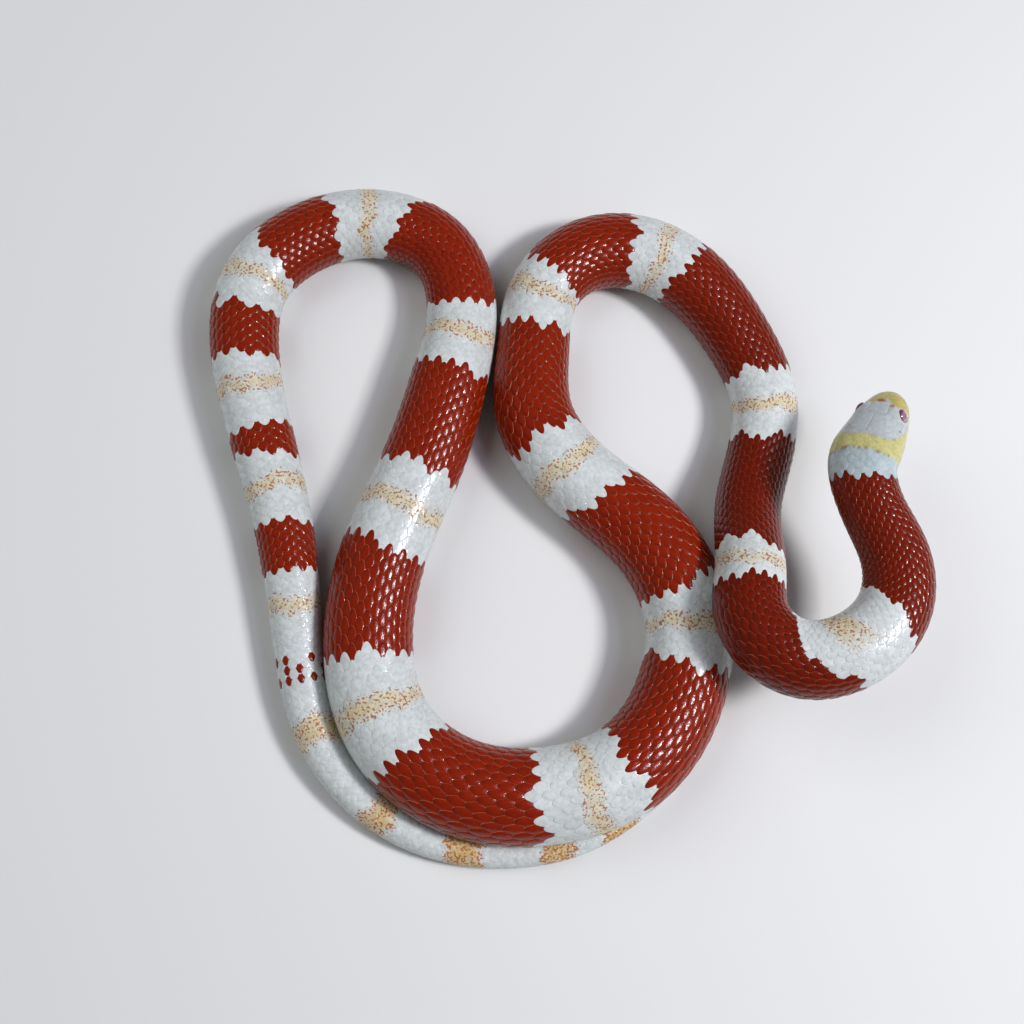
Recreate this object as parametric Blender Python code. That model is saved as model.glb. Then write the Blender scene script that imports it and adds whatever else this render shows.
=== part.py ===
"""Milk snake lying in loose bends, its neck and head raised: a still, life-size model.

Sizes are in millimetres and become metres as each mesh is made. X and Y lie on the floor,
Z points up, and the origin is on the floor under the middle of the animal.

Distances along the animal are measured from the tip of the snout. A section across it is
drawn in two sizes: side, from the middle line out to the animal's right, and rise, up from
the belly line.
"""
import bpy
import bmesh
import numpy as np
from math import radians, sin, cos
from mathutils import Matrix, Vector

MM = 0.001

# The head is straight. It sits ahead of the nape, turned, nose down and rolled to its left.
HEAD_LENGTH = 19.0
HEADING = radians(62.5)
NOSE_DOWN = radians(6.0)
HEAD_ROLL = radians(33.0)
ROLL_GONE = 85.0

# The route of the middle line from the nape to the tip of the tail, as X, Y and the height of
# the belly over the floor. The fore part climbs over the thick of the trunk and stays raised.
ROUTE = (
    (79.3, 12.3, 26.8), (77.7, 6.9, 27.3), (78.3, 0.6, 27.3), (80.5, -5.9, 27.0),
    (84.5, -15.4, 26.3), (84.5, -26.9, 25.5), (78.0, -36.4, 25.0), (68.5, -41.4, 23.5),
    (61.0, -41.9, 22.0), (52.5, -37.2, 20.3), (49.0, -29.9, 18.2), (50.0, -19.9, 15.0),
    (51.5, -8.9, 9.5), (53.0, 1.6, 4.5), (57.0, 14.6, 1.0), (59.9, 33.1, 0.0),
    (52.9, 52.0, 0.0), (40.5, 68.3, 0.0), (25.1, 76.3, 0.0), (9.6, 75.0, 0.0),
    (-1.4, 64.5, 0.0), (-4.9, 47.1, 0.0), (-4.6, 27.3, 0.0), (7.7, 9.1, 0.0),
    (24.7, -5.2, 0.0), (35.4, -25.0, 0.0), (33.5, -47.7, 0.0), (21.3, -65.9, 0.0),
    (-1.5, -74.8, 0.0), (-26.4, -71.6, 0.0), (-42.5, -58.0, 0.0), (-48.4, -36.1, 0.0),
    (-44.8, -11.6, 0.0), (-34.7, 14.2, 0.0), (-27.6, 38.9, 0.0), (-25.0, 60.9, 0.0),
    (-31.7, 76.7, 0.0), (-48.0, 83.3, 0.0), (-68.8, 78.3, 0.0), (-82.3, 64.4, 0.0),
    (-84.3, 44.8, 0.0), (-79.4, 22.6, 0.0), (-71.5, -6.0, 0.0), (-66.9, -35.5, 0.0),
    (-60.0, -61.5, 0.0), (-42.4, -80.7, 0.0), (-16.9, -89.3, 0.0), (12.6, -85.0, 0.0),
    (34.3, -70.9, 0.0),
)
ON_FLOOR = 180.0
HEAD_AXIS = 6.4

# Half the width at distances from the snout: the snout is blunt, the head is a little wider
# than the neck, the trunk is thickest just past its middle, and the tail tapers to a point.
HALF_WIDTH = (
    (0.0, 0.0), (0.6, 2.4), (2.0, 4.1), (5.0, 5.8), (9.0, 7.1), (14.0, 8.25), (19.0, 9.05),
    (23.0, 8.9), (28.0, 8.4), (36.0, 8.15), (50.0, 8.7), (66.0, 9.35), (90.0, 9.9), (115.0, 9.45),
    (140.0, 8.95), (165.0, 9.1), (200.0, 9.75), (235.0, 10.7), (270.0, 10.0), (300.0, 10.6),
    (340.0, 11.5), (400.0, 11.85), (455.0, 12.4), (500.0, 11.7), (530.0, 11.55), (565.0, 11.05),
    (590.0, 10.5), (615.0, 9.65), (650.0, 9.75), (680.0, 9.8), (710.0, 9.25), (745.0, 8.35),
    (780.0, 7.05), (815.0, 5.8), (850.0, 4.5), (880.0, 3.35), (905.0, 2.25), (918.0, 1.5),
    (924.0, 0.95), (927.0, 0.35),
)
# Rise of the crown and of the chin, down to the nape's belly line.
CROWN = ((0.0, 4.9), (0.6, 6.5), (2.0, 7.8), (5.0, 9.3), (9.0, 10.6), (14.0, 11.7), (19.0, 12.4),
         (30.0, 13.6), (42.0, 14.5))
CHIN = ((0.0, 4.1), (0.6, 2.9), (2.0, 2.1), (5.0, 1.35), (9.0, 0.9), (14.0, 0.6), (19.0, 0.35),
        (30.0, 0.1), (42.0, 0.0))
NECK_END = 42.0
TRUNK_HEIGHT = 1.74
WIDEST_AT = 0.48
BELLY_DEPTH = 1.1
HEAD_SQUARENESS = 2.5
HEAD_SQUARE_TO = 14.0
CROWN_TAPER = 0.15
CROWN_TAPER_GONE = 26.0

# The mouth runs from under the snout to its corner, rising behind the eye.
# The lips swell on both sides of it, and a low brow stands over each eye.
MOUTH = ((-3.0, 3.05), (1.0, 3.0), (5.0, 3.25), (9.0, 3.55), (13.0, 4.1), (17.5, 4.7))
MOUTH_END = MOUTH[-1][0]
JAW_CUT_DEPTH = 4.0
JAW_CUT_HALF_WIDTH = 14.0
LIP = 0.22
LIP_STEP = 0.9
LIP_SPREAD = 0.55
LIP_FADE_IN = (1.0, 3.0)
LIP_FADE_OUT = 13.5
BROW = 0.35
BROW_PLACE = (8.2, 3.1, 9.2)
BROW_SPREAD = (2.6, 1.3)

# Each eye is a flattened ball, turned a little forward and up, that stands out of its socket.
EYE_RADIUS = 1.75
EYE_HALF_DEPTH = 1.15
EYE_PLACE = (8.2, 7.3)
EYE_BULGE = 0.5
EYE_FORWARD = radians(10.0)
EYE_UP = radians(8.0)
NOSTRIL_RADIUS = 0.5
NOSTRIL_PLACE = (2.3, 5.7)

# Where the animal is parted, at distances from the snout.
GAP = 0.3
PARTS = (
    ("neck", HEAD_LENGTH, 62.0), ("torso_1", 62.0, 102.0), ("torso_2", 102.0, 145.0),
    ("torso_3", 145.0, 190.0), ("torso_4", 190.0, 235.0), ("torso_5", 235.0, 279.0),
    ("torso_6", 279.0, 323.0), ("torso_7", 323.0, 368.0), ("torso_8", 368.0, 412.0),
    ("torso_9", 412.0, 455.0), ("torso_10", 455.0, 498.0), ("torso_11", 498.0, 545.0),
    ("torso_12", 545.0, 596.0), ("torso_13", 596.0, 640.0), ("torso_14", 640.0, 685.0),
    ("torso_15", 685.0, 735.0), ("torso_16", 735.0, 800.0), ("tail_base", 800.0, 866.0),
    ("tail_tip", 866.0, 927.0),
)
RING_STEP = 5.6
TRUNK_SIDES = 24
HEAD_SIDES = 40
HEAD_RINGS = 24
SNOUT_START = 0.05
MOUTH_STEPS = 15
FLANK_SIDES = 200
EYE_SIDES = 20
EYE_RINGS = 12
NOSTRIL_SIDES = 8
NOSTRIL_RINGS = 6
EDGE_ANGLE = 50.0
EYE_EDGE_ANGLE = 80.0

# Colours in linear light, read by eye: brick red bands, cool white head and tail.
RED = (0.30, 0.035, 0.012)
WHITE = (0.66, 0.68, 0.68)
EYE_PINK = (0.22, 0.07, 0.10)


class Curve:
    """A smooth curve through points, a cubic spline that is free at its ends or leaves its
    first point with a given slope."""

    def __init__(self, knots, values, first_slope=None):
        self.x = np.array(knots, float)
        self.y = np.array(values, float)
        count = len(self.x)
        step = np.diff(self.x)
        rise = np.diff(self.y, axis=0) / step.reshape((-1,) + (1,) * (self.y.ndim - 1))
        matrix = np.eye(count)
        right = np.zeros_like(self.y)
        for i in range(1, count - 1):
            matrix[i, i - 1:i + 2] = (step[i - 1], 2 * (step[i - 1] + step[i]), step[i])
            right[i] = 6 * (rise[i] - rise[i - 1])
        if first_slope is not None:
            matrix[0, :2] = (2 * step[0], step[0])
            right[0] = 6 * (rise[0] - np.array(first_slope))
        self.bend = np.linalg.solve(matrix, right)

    def at(self, x):
        i = int(np.clip(np.searchsorted(self.x, x) - 1, 0, len(self.x) - 2))
        h = self.x[i + 1] - self.x[i]
        a = (self.x[i + 1] - x) / h
        b = (x - self.x[i]) / h
        curved = ((a ** 3 - a) * self.bend[i] + (b ** 3 - b) * self.bend[i + 1]) * h * h / 6
        return a * self.y[i] + b * self.y[i + 1] + curved


def smooth(x, start, end):
    """A step from 0 at start to 1 at end with level ends."""
    t = min(max((x - start) / (end - start), 0.0), 1.0)
    return t * t * (3 - 2 * t)


def table(rows):
    """A curve through a table of sizes, drawn over the root of the distance, which rounds
    the snout."""
    return Curve([row[0] ** 0.5 for row in rows], [row[1] for row in rows])


class Body:
    """The whole animal as a swept form: where each section stands and what shape it has."""

    def __init__(self):
        points = np.array(ROUTE)
        chords = np.linalg.norm(np.diff(points, axis=0), axis=1)
        knots = np.concatenate(([0.0], np.cumsum(chords)))
        nose = np.array((cos(HEADING) * cos(NOSE_DOWN), sin(HEADING) * cos(NOSE_DOWN),
                         -sin(NOSE_DOWN)))
        self.nose = nose
        self.route = Curve(knots, points, first_slope=-nose)
        fine = np.linspace(0.0, knots[-1], 6000)
        line = np.array([self.route.at(x) for x in fine])
        lengths = np.linalg.norm(np.diff(line, axis=0), axis=1)
        self.fine = fine
        self.along = HEAD_LENGTH + np.concatenate(([0.0], np.cumsum(lengths)))
        self.line = line
        self.width_curve = table(HALF_WIDTH)
        self.crown_curve = table(CROWN)
        self.chin_curve = table(CHIN)

    def length(self):
        return self.along[-1]

    def point(self, s):
        """The route at distance s: straight along the head, then along the curve."""
        if s < HEAD_LENGTH:
            return self.line[0] + self.nose * (HEAD_LENGTH - s)
        here = self.route.at(float(np.interp(s, self.along, self.fine)))
        here[2] = 0.0 if s > ON_FLOOR else max(here[2], 0.0)
        return here

    def axis(self, s):
        """The height of the middle line over the belly."""
        if s <= HEAD_LENGTH:
            return HEAD_AXIS
        share = smooth(s, HEAD_LENGTH, NECK_END)
        return HEAD_AXIS * (1 - share) + WIDEST_AT * self.crown(s) * share

    def frame(self, s):
        """A point of the middle line, the way to the tail, the animal's right and the way
        up to its back."""
        here = self.point(s)
        if s <= HEAD_LENGTH:
            back = -self.nose
        else:
            reach = 0.05
            s = min(s, self.length() - reach)
            back = self.point(s + reach) - self.point(s - reach)
            back /= np.linalg.norm(back)
        right = np.cross(-back, (0.0, 0.0, 1.0))
        right /= np.linalg.norm(right)
        up = np.cross(right, -back)
        roll = HEAD_ROLL * (1 - smooth(s, HEAD_LENGTH, ROLL_GONE))
        rolled_right = right * cos(roll) + up * sin(roll)
        rolled_up = up * cos(roll) - right * sin(roll)
        middle = here + np.array((0.0, 0.0, self.axis(s)))
        return middle, back, rolled_right, rolled_up

    def half_width(self, s):
        return float(self.width_curve.at(s ** 0.5))

    def crown(self, s):
        trunk = TRUNK_HEIGHT * self.half_width(s)
        if s >= NECK_END:
            return trunk
        share = smooth(s, HEAD_LENGTH, NECK_END)
        return float(self.crown_curve.at(s ** 0.5)) * (1 - share) + trunk * share

    def chin(self, s):
        if s >= NECK_END:
            return 0.0
        return float(self.chin_curve.at(s ** 0.5))

    def section(self, s, sides):
        """The outline at distance s as (side, rise) pairs, with a flat belly between its
        first and last points."""
        half = self.half_width(s)
        top = self.crown(s)
        low = self.chin(s)
        middle = low + WIDEST_AT * (top - low)
        depth = BELLY_DEPTH * (middle - low)
        square = 2.0 + (HEAD_SQUARENESS - 2.0) * (1 - smooth(s, HEAD_SQUARE_TO, NECK_END))
        power = 2.0 / square
        corner = np.arcsin((1 / BELLY_DEPTH) ** (1 / power))
        taper = CROWN_TAPER * (1 - smooth(s, HEAD_SQUARE_TO, CROWN_TAPER_GONE))
        outline = []
        for angle in np.linspace(-corner, np.pi + corner, sides):
            side = half * np.sign(cos(angle)) * abs(cos(angle)) ** power
            lift = abs(sin(angle)) ** power
            above = 0 < angle < np.pi
            rise = middle + (top - middle) * lift if above else middle - depth * lift
            if above:
                side *= 1 - taper * lift
            outline.append((side, rise))
        return outline

    def place(self, s, side, rise):
        """A point of the section at distance s, in the object's frame."""
        middle, _, right, up = self.frame(s)
        return middle + right * side + up * (rise - self.axis(s))


BODY = Body()
MOUTH_CURVE = Curve([row[0] for row in MOUTH], [row[1] for row in MOUTH])


def clear_scene():
    for item in list(bpy.data.objects):
        bpy.data.objects.remove(item, do_unlink=True)


def material(name, colour, roughness):
    made = bpy.data.materials.new(name)
    made.use_nodes = True
    shader = made.node_tree.nodes["Principled BSDF"]
    shader.inputs["Base Color"].default_value = (*colour, 1.0)
    shader.inputs["Roughness"].default_value = roughness
    shader.inputs["Metallic"].default_value = 0.0
    return made


def loft(name, rings):
    """A closed solid through rings of points, each end filled by one flat face."""
    mesh = bmesh.new()
    rows = [[mesh.verts.new(Vector(point) * MM) for point in ring] for ring in rings]
    count = len(rows[0])
    for near, far in zip(rows, rows[1:]):
        for i in range(count):
            j = (i + 1) % count
            mesh.faces.new((near[i], near[j], far[j], far[i]))
    mesh.faces.new(rows[0])
    mesh.faces.new(rows[-1])
    bmesh.ops.recalc_face_normals(mesh, faces=mesh.faces)
    data = bpy.data.meshes.new(name)
    mesh.to_mesh(data)
    mesh.free()
    made = bpy.data.objects.new(name, data)
    bpy.context.scene.collection.objects.link(made)
    return made


def finish(item, look, edge_angle=EDGE_ANGLE):
    item.data.materials.clear()
    item.data.materials.append(look)
    item.data.shade_smooth()
    item.data.set_sharp_from_angle(angle=radians(edge_angle))


def boolean(item, tool, operation):
    """Cuts or keeps item by tool and removes the tool."""
    change = item.modifiers.new(operation.lower(), "BOOLEAN")
    change.operation = operation
    change.object = tool
    change.solver = "EXACT"
    bpy.context.view_layer.update()
    made = bpy.data.meshes.new_from_object(item.evaluated_get(bpy.context.evaluated_depsgraph_get()))
    item.modifiers.clear()
    item.data = made
    bpy.data.objects.remove(tool, do_unlink=True)


def face_ways(s, side, rise):
    """How far a point of the head stands out for the lips and the brows."""
    lip_start, lip_full = LIP_FADE_IN
    fade = smooth(s, lip_start, lip_full) * (1 - smooth(s, LIP_FADE_OUT, MOUTH_END))
    off_mouth = abs(rise - mouth_rise(s))
    out = LIP * fade * np.exp(-((off_mouth - LIP_STEP) / LIP_SPREAD) ** 2)
    along, inner_side, height = BROW_PLACE
    if abs(side) > inner_side:
        near = ((s - along) / BROW_SPREAD[0]) ** 2 + ((rise - height) / BROW_SPREAD[1]) ** 2
        out += BROW * np.exp(-near)
    return out


def mouth_rise(s):
    """The rise of the mouth line over the belly line."""
    return float(MOUTH_CURVE.at(min(s, MOUTH_END)))


def head_solid():
    """The whole head with its lips and brows, before the mouth, eyes and nostrils."""
    rings = []
    for step in np.linspace(SNOUT_START, 1.0, HEAD_RINGS):
        s = (HEAD_LENGTH - GAP / 2) * step ** 2
        outline = BODY.section(s, HEAD_SIDES)
        middle = 0.5 * (BODY.crown(s) + BODY.chin(s))
        ring = []
        for side, rise in outline:
            reach = (side ** 2 + (rise - middle) ** 2) ** 0.5
            grow = 1 + face_ways(s, side, rise) / reach
            ring.append(BODY.place(s, side * grow, middle + (rise - middle) * grow))
        rings.append(ring)
    return loft("head", rings)


def mouth_block(raise_by):
    """A block under the mouth line, from ahead of the snout to the mouth's corner."""
    end = MOUTH_END + raise_by
    line = [(s, mouth_rise(s) + raise_by) for s in np.linspace(MOUTH[0][0], end, MOUTH_STEPS)]
    outline = line + [(end, -JAW_CUT_DEPTH), (MOUTH[0][0], -JAW_CUT_DEPTH)]
    sides = (-JAW_CUT_HALF_WIDTH, JAW_CUT_HALF_WIDTH)
    rings = [[BODY.place(s, side, rise) for s, rise in outline] for side in sides]
    return loft("mouth_block", rings)


def ball(name, centre, radius, half_depth, hand, segments, rings):
    """A ball, flattened towards the side of the head that it looks out of."""
    mesh = bmesh.new()
    bmesh.ops.create_uvsphere(mesh, u_segments=segments, v_segments=rings, radius=MM)
    mesh.transform(Matrix.Diagonal((radius, radius, half_depth, 1.0)))
    mesh.transform(Matrix.Translation(Vector(centre) * MM) @ side_turn(hand))
    data = bpy.data.meshes.new(name)
    mesh.to_mesh(data)
    mesh.free()
    made = bpy.data.objects.new(name, data)
    bpy.context.scene.collection.objects.link(made)
    return made


def side_turn(hand):
    """Turns a ball so that its poles lie across the head, a little forward and up."""
    _, back, right, up = [Vector(row) for row in BODY.frame(0.0)]
    out = hand * right - back * np.tan(EYE_FORWARD) + up * np.tan(EYE_UP)
    out.normalize()
    ahead = up.cross(out).normalized()
    return Matrix((ahead, out.cross(ahead), out)).transposed().to_4x4()


def flank(s, rise):
    """How far the head's side stands from the middle line at a rise over the belly line."""
    outline = BODY.section(s, FLANK_SIDES)
    right = [(abs(height - rise), side) for side, height in outline if side > 0]
    return min(right)[1]


def on_flank(s, rise, hand, out):
    """A point that stands out from the head's side by a distance."""
    return BODY.place(s, hand * (flank(s, rise) + out), rise)


def make_head(look):
    """The head above the mouth line and behind its corner, the lower jaw, and both eyes."""
    head = head_solid()
    jaw = head.copy()
    jaw.data = head.data.copy()
    jaw.name = "lower_jaw"
    bpy.context.scene.collection.objects.link(jaw)
    boolean(jaw, mouth_block(0.0), "INTERSECT")
    boolean(head, mouth_block(GAP), "DIFFERENCE")
    for hand, name in ((1, "right"), (-1, "left")):
        centre = on_flank(*EYE_PLACE, hand, EYE_BULGE - EYE_HALF_DEPTH)
        socket_size = (EYE_RADIUS + GAP, EYE_HALF_DEPTH + GAP)
        socket = ball("socket", centre, *socket_size, hand, EYE_SIDES, EYE_RINGS)
        boolean(head, socket, "DIFFERENCE")
        hole = on_flank(*NOSTRIL_PLACE, hand, 0.0)
        size = (NOSTRIL_RADIUS, NOSTRIL_RADIUS)
        boolean(head, ball("nostril", hole, *size, hand, NOSTRIL_SIDES, NOSTRIL_RINGS), "DIFFERENCE")
        eye = ball("eye_" + name, centre, EYE_RADIUS, EYE_HALF_DEPTH, hand, EYE_SIDES, EYE_RINGS)
        finish(eye, look["eye"], EYE_EDGE_ANGLE)
    finish(head, look["white"])
    finish(jaw, look["white"])


def make_length(name, start, end, look):
    """One length of neck, torso or tail, parted from its neighbours by the gap."""
    count = max(3, round((end - start) / RING_STEP) + 1)
    rings = []
    for s in np.linspace(start, end, count):
        middle, back, right, up = BODY.frame(s)
        shift = 0.0
        if s == start:
            shift = GAP / 2
        if s == end and end < PARTS[-1][2]:
            shift = -GAP / 2
        start_point = middle + back * shift - up * BODY.axis(s)
        outline = BODY.section(s, TRUNK_SIDES)
        rings.append([start_point + right * side + up * rise for side, rise in outline])
    finish(loft(name, rings), look)


def main():
    clear_scene()
    look = {
        "red": material("red_scales", RED, 0.35),
        "white": material("white_scales", WHITE, 0.38),
        "eye": material("eye", EYE_PINK, 0.08),
    }
    make_head(look)
    for name, start, end in PARTS:
        make_length(name, start, end, look["white" if name.startswith("tail") else "red"])


if __name__ == "__main__":
    main()
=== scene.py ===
import bpy
import numpy as np
from math import radians
from mathutils import Matrix, Vector


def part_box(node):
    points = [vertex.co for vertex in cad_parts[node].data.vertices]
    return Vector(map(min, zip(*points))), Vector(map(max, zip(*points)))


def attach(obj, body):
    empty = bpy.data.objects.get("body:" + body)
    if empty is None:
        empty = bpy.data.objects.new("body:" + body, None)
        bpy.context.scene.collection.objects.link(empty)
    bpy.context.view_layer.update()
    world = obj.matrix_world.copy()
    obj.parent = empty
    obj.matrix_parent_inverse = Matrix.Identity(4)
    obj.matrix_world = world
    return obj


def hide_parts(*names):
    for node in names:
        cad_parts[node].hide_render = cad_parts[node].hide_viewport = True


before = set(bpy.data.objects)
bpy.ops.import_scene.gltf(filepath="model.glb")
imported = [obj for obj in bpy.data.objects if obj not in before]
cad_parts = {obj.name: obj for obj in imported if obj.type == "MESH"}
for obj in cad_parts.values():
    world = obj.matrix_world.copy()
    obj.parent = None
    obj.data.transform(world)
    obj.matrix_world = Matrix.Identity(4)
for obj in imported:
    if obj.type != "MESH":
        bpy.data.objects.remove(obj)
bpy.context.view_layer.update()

bpy.ops.object.select_all(action="DESELECT")

# The skin.
# One closed skin of painted silicone over the whole animal, cast in one piece from snout to
# tail tip. The head's shields, lips, mouth line and nostrils are pressed into it. Behind the
# head it lies under the scales and only shows between them.

# Sizes are in mm, and s is the way along the animal from the tip of the snout.
MM = 0.001
HEAD_LENGTH = 19.0
HEADING = radians(62.5)
NOSE_DOWN = radians(6.0)
HEAD_ROLL = radians(33.0)
ROLL_GONE = 85.0
HEAD_AXIS = 6.4
ON_FLOOR = 180.0
BODY_LENGTH = 927.0

# The middle line from the nape to the tail's tip: X, Y and the height of the belly.
ROUTE = np.array((
    (79.3, 12.3, 26.8), (77.7, 6.9, 27.3), (78.3, 0.6, 27.3), (80.5, -5.9, 27.0),
    (84.5, -15.4, 26.3), (84.5, -26.9, 25.5), (78.0, -36.4, 25.0), (68.5, -41.4, 23.5),
    (61.0, -41.9, 22.0), (52.5, -37.2, 20.3), (49.0, -29.9, 18.2), (50.0, -19.9, 15.0),
    (51.5, -8.9, 9.5), (53.0, 1.6, 4.5), (57.0, 14.6, 1.0), (59.9, 33.1, 0.0),
    (52.9, 52.0, 0.0), (40.5, 68.3, 0.0), (25.1, 76.3, 0.0), (9.6, 75.0, 0.0),
    (-1.4, 64.5, 0.0), (-4.9, 47.1, 0.0), (-4.6, 27.3, 0.0), (7.7, 9.1, 0.0),
    (24.7, -5.2, 0.0), (35.4, -25.0, 0.0), (33.5, -47.7, 0.0), (21.3, -65.9, 0.0),
    (-1.5, -74.8, 0.0), (-26.4, -71.6, 0.0), (-42.5, -58.0, 0.0), (-48.4, -36.1, 0.0),
    (-44.8, -11.6, 0.0), (-34.7, 14.2, 0.0), (-27.6, 38.9, 0.0), (-25.0, 60.9, 0.0),
    (-31.7, 76.7, 0.0), (-48.0, 83.3, 0.0), (-68.8, 78.3, 0.0), (-82.3, 64.4, 0.0),
    (-84.3, 44.8, 0.0), (-79.4, 22.6, 0.0), (-71.5, -6.0, 0.0), (-66.9, -35.5, 0.0),
    (-60.0, -61.5, 0.0), (-42.4, -80.7, 0.0), (-16.9, -89.3, 0.0), (12.6, -85.0, 0.0),
    (34.3, -70.9, 0.0),
))
HALF_WIDTH = (
    (0.0, 0.0), (0.6, 2.4), (2.0, 4.1), (5.0, 5.8), (9.0, 7.1), (14.0, 8.25), (19.0, 9.05),
    (23.0, 8.9), (28.0, 8.4), (36.0, 8.15), (50.0, 8.7), (66.0, 9.35), (90.0, 9.9), (115.0, 9.45),
    (140.0, 8.95), (165.0, 9.1), (200.0, 9.75), (235.0, 10.7), (270.0, 10.0), (300.0, 10.6),
    (340.0, 11.5), (400.0, 11.85), (455.0, 12.4), (500.0, 11.7), (530.0, 11.55), (565.0, 11.05),
    (590.0, 10.5), (615.0, 9.65), (650.0, 9.75), (680.0, 9.8), (710.0, 9.25), (745.0, 8.35),
    (780.0, 7.05), (815.0, 5.8), (850.0, 4.5), (880.0, 3.35), (905.0, 2.25), (918.0, 1.5),
    (924.0, 0.95), (927.0, 0.35),
)
CROWN = ((0.0, 4.9), (0.6, 6.5), (2.0, 7.8), (5.0, 9.3), (9.0, 10.6), (14.0, 11.7), (19.0, 12.4),
         (30.0, 13.6), (42.0, 14.5))
CHIN = ((0.0, 4.1), (0.6, 2.9), (2.0, 2.1), (5.0, 1.35), (9.0, 0.9), (14.0, 0.6), (19.0, 0.35),
        (30.0, 0.1), (42.0, 0.0))
NECK_END = 42.0
TRUNK_HEIGHT = 1.74
WIDEST_AT = 0.48
BELLY_DEPTH = 1.1
HEAD_SQUARENESS = 2.5
HEAD_SQUARE_TO = 14.0
CROWN_TAPER = 0.15
CROWN_TAPER_GONE = 26.0
MOUTH = ((-3.0, 3.05), (1.0, 3.0), (5.0, 3.25), (9.0, 3.55), (13.0, 4.1), (17.5, 4.7))
MOUTH_END = 17.5
LIP = 0.22
LIP_STEP = 0.9
LIP_SPREAD = 0.55
LIP_GROWS = (1.0, 3.0)
LIP_FADES_FROM = 13.5
BROW = 0.35
BROW_AT = (8.2, 9.2)
BROW_SIZE = (2.6, 1.3)
BROW_SIDE = (2.4, 3.6)
FACE_END = 21.0
ROUTE_SAMPLES = 6000


def spline(knots, values, first_slope=None):
    """The coefficients of a smooth curve through points."""
    x = np.array(knots, float)
    y = np.array(values, float)
    step = np.diff(x)
    rise = np.diff(y, axis=0) / step.reshape((-1,) + (1,) * (y.ndim - 1))
    matrix = np.eye(len(x))
    right = np.zeros_like(y)
    for i in range(1, len(x) - 1):
        matrix[i, i - 1:i + 2] = (step[i - 1], 2 * (step[i - 1] + step[i]), step[i])
        right[i] = 6 * (rise[i] - rise[i - 1])
    if first_slope is not None:
        matrix[0, :2] = (2 * step[0], step[0])
        right[0] = 6 * (rise[0] - first_slope)
    return x, y, np.linalg.solve(matrix, right)


def along(curve, at):
    """Points of a smooth curve."""
    x, y, bend = curve
    at = np.atleast_1d(np.asarray(at, float))
    i = np.clip(np.searchsorted(x, at) - 1, 0, len(x) - 2)
    h = x[i + 1] - x[i]
    a = (x[i + 1] - at) / h
    b = (at - x[i]) / h
    if y.ndim > 1:
        h, a, b = h[:, None], a[:, None], b[:, None]
    curved = ((a ** 3 - a) * bend[i] + (b ** 3 - b) * bend[i + 1]) * h * h / 6
    return a * y[i] + b * y[i + 1] + curved


def smooth(x, start, end):
    """A step from 0 at start to 1 at end with level ends."""
    t = np.clip((np.asarray(x, float) - start) / (end - start), 0.0, 1.0)
    return t * t * (3 - 2 * t)


nose = np.array((np.cos(HEADING) * np.cos(NOSE_DOWN), np.sin(HEADING) * np.cos(NOSE_DOWN),
                 -np.sin(NOSE_DOWN)))
chords = np.concatenate(([0.0], np.cumsum(np.linalg.norm(np.diff(ROUTE, axis=0), axis=1))))
route_curve = spline(chords, ROUTE, -nose)
route_steps = np.linspace(0.0, chords[-1], ROUTE_SAMPLES)
route_line = along(route_curve, route_steps)
route_along = HEAD_LENGTH + np.concatenate(
    ([0.0], np.cumsum(np.linalg.norm(np.diff(route_line, axis=0), axis=1))))
width_curve = spline([row[0] ** 0.5 for row in HALF_WIDTH], [row[1] for row in HALF_WIDTH])
crown_curve = spline([row[0] ** 0.5 for row in CROWN], [row[1] for row in CROWN])
chin_curve = spline([row[0] ** 0.5 for row in CHIN], [row[1] for row in CHIN])
mouth_curve = spline([row[0] for row in MOUTH], [row[1] for row in MOUTH])


def half_width(s):
    """Half the width of the body."""
    return along(width_curve, np.sqrt(np.clip(s, 0.0, BODY_LENGTH)))


def crown(s):
    """The rise of the back's middle over the route."""
    trunk = TRUNK_HEIGHT * half_width(s)
    share = smooth(s, HEAD_LENGTH, NECK_END)
    head = along(crown_curve, np.sqrt(np.clip(s, 0.0, NECK_END)))
    return head * (1 - share) + trunk * share


def chin(s):
    """The rise of the chin over the route, which the trunk's belly lies on."""
    return np.where(np.asarray(s) >= NECK_END, 0.0,
                    along(chin_curve, np.sqrt(np.clip(s, 0.0, NECK_END))))


def mouth_rise(s):
    """The rise of the mouth line over the route."""
    return along(mouth_curve, np.clip(s, MOUTH[0][0], MOUTH_END))


def belly_point(s):
    """The route at distances s from the snout."""
    s = np.asarray(s, float)
    here = along(route_curve, np.interp(s, route_along, route_steps))
    here[:, 2] = np.where(s > ON_FLOOR, 0.0, np.maximum(here[:, 2], 0.0))
    ahead = route_line[0] + nose * (HEAD_LENGTH - s)[:, None]
    return np.where((s < HEAD_LENGTH)[:, None], ahead, here)


def body_frame(s):
    """The middle of the section at each s, with the ways to the tail, the right and the back."""
    s = np.asarray(s, float)
    reach = 0.05
    mid = np.clip(s, 0.0, route_along[-1] - reach)
    back = belly_point(mid + reach) - belly_point(mid - reach)
    back[s <= HEAD_LENGTH] = -nose
    back /= np.linalg.norm(back, axis=1)[:, None]
    right = np.cross(-back, (0.0, 0.0, 1.0))
    right /= np.linalg.norm(right, axis=1)[:, None]
    up = np.cross(right, -back)
    roll = (HEAD_ROLL * (1 - smooth(s, HEAD_LENGTH, ROLL_GONE)))[:, None]
    share = smooth(s, HEAD_LENGTH, NECK_END)
    axis = HEAD_AXIS * (1 - share) + WIDEST_AT * crown(s) * share
    middle = belly_point(s) + axis[:, None] * np.array((0.0, 0.0, 1.0))
    return (middle, back, right * np.cos(roll) + up * np.sin(roll),
            up * np.cos(roll) - right * np.sin(roll), axis)


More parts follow.
